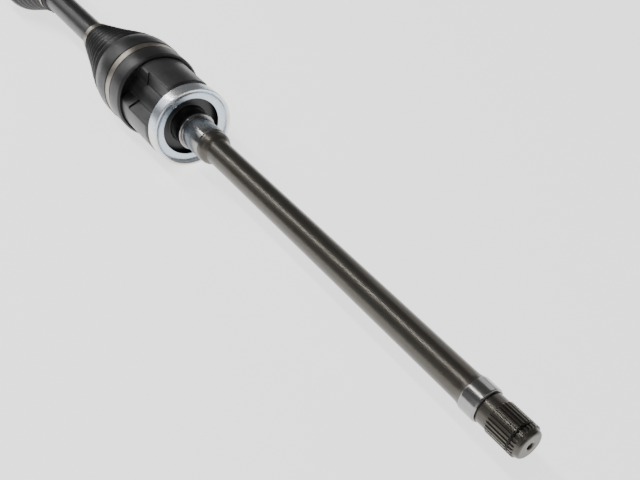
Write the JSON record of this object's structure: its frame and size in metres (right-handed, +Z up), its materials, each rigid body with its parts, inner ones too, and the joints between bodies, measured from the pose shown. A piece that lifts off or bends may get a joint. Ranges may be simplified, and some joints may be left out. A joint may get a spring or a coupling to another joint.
{
  "type": "cv axle",
  "caption": "Constant velocity drive axle with a long splined gearbox stub, tripod plunge joint, rubber boots, bar and ball-type outer joint.",
  "frame": {"origin": "centre of the gearbox stub's flat end face, on the axis of rotation", "axes": "+X along the axis of rotation, from the gearbox stub towards the wheel; +Z up"},
  "size_m": [1.066, 0.0962, 0.0976],
  "materials": {
    "phosphated_steel": "satin",
    "ground_steel": "polished",
    "black_coated_steel": "satin",
    "zinc_plate": "semi_gloss",
    "stainless_band": "satin",
    "boot_rubber": "matte",
    "bearing_steel": "polished",
    "spring_steel": "satin"
  },
  "bodies": {
    "housing": {"stub_shaft": "phosphated_steel", "stub_circlip": "spring_steel", "tripod_housing": "black_coated_steel", "dust_ring": "zinc_plate", "boot_adapter": "boot_rubber", "inner_boot": "boot_rubber", "inner_boot_band_large": "stainless_band"},
    "roller_unit_1": {"inner_ring_1": "bearing_steel", "needles_1": "bearing_steel"},
    "roller_unit_2": {"inner_ring_2": "bearing_steel", "needles_2": "bearing_steel"},
    "roller_unit_3": {"inner_ring_3": "bearing_steel", "needles_3": "bearing_steel"},
    "roller_1": {"outer_roller_1": "bearing_steel", "roller_clips_1": "spring_steel"},
    "roller_2": {"outer_roller_2": "bearing_steel", "roller_clips_2": "spring_steel"},
    "roller_3": {"outer_roller_3": "bearing_steel", "roller_clips_3": "spring_steel"},
    "bar": {"axle_bar": "black_coated_steel", "tripod_spider": "ground_steel", "spider_clips": "spring_steel", "race_clips": "spring_steel", "inner_race": "ground_steel", "inner_boot_band_small": "stainless_band", "outer_boot_band_small": "stainless_band"},
    "cage": {"ball_cage": "phosphated_steel", "ball_1": "bearing_steel", "ball_2": "bearing_steel", "ball_3": "bearing_steel", "ball_4": "bearing_steel", "ball_5": "bearing_steel", "ball_6": "bearing_steel"},
    "bell": {"outer_bell": "black_coated_steel", "tone_ring": "phosphated_steel", "axle_nut": "zinc_plate", "outer_boot": "boot_rubber", "outer_boot_band_large": "stainless_band"}
  },
  "joints": [
    {"name": "plunge", "type": "slide", "parent": "housing", "child": "roller_unit_1", "axis": [1, 0, 0], "range_m": [-0.02, 0.02]},
    {"name": "inner_bend", "type": "hinge", "parent": "roller_unit_1", "child": "bar", "pos_m": [0.55, 0, 0], "axis": [0, -0.1942, 0.981], "range_deg": [-16, 16], "deforming": ["inner_boot"]},
    {"name": "roller_2_shift", "type": "slide", "parent": "roller_unit_1", "child": "roller_unit_2", "axis": [1, 0, 0], "range_m": [-0.0065, 0.0065]},
    {"name": "roller_3_shift", "type": "slide", "parent": "roller_unit_1", "child": "roller_unit_3", "axis": [1, 0, 0], "range_m": [-0.0065, 0.0065]},
    {"name": "roller_1_spin", "type": "hinge", "parent": "roller_unit_1", "child": "roller_1", "pos_m": [0.55, -0.00505, 0.0255], "axis": [0, -0.1942, 0.981], "range_deg": [-75, 75]},
    {"name": "roller_2_spin", "type": "hinge", "parent": "roller_unit_2", "child": "roller_2", "pos_m": [0.55, -0.01956, -0.01713], "axis": [0, -0.7524, -0.6587], "range_deg": [-75, 75]},
    {"name": "roller_3_spin", "type": "hinge", "parent": "roller_unit_3", "child": "roller_3", "pos_m": [0.55, 0.02461, -0.00838], "axis": [0, 0.9466, -0.3223], "range_deg": [-75, 75]},
    {"name": "outer_bend", "type": "hinge", "parent": "bar", "child": "bell", "pos_m": [0.95, 0, 0], "axis": [0, -0.1942, 0.981], "range_deg": [-40, 40], "deforming": ["outer_boot"]},
    {"name": "cage_tilt", "type": "hinge", "parent": "bar", "child": "cage", "pos_m": [0.95, 0, 0], "axis": [0, -0.1942, 0.981], "range_deg": [-20.5, 20.5]}
  ],
  "couplings": [
    {"joint": "roller_2_shift", "follows": "inner_bend", "m_per_rad": 0.022517},
    {"joint": "roller_3_shift", "follows": "inner_bend", "m_per_rad": -0.022517},
    {"joint": "roller_1_spin", "follows": "plunge", "rad_per_m": 60.606},
    {"joint": "roller_2_spin", "follows": "plunge", "rad_per_m": 60.606},
    {"joint": "roller_3_spin", "follows": "plunge", "rad_per_m": 60.606},
    {"joint": "cage_tilt", "follows": "outer_bend", "ratio": 0.5}
  ]
}
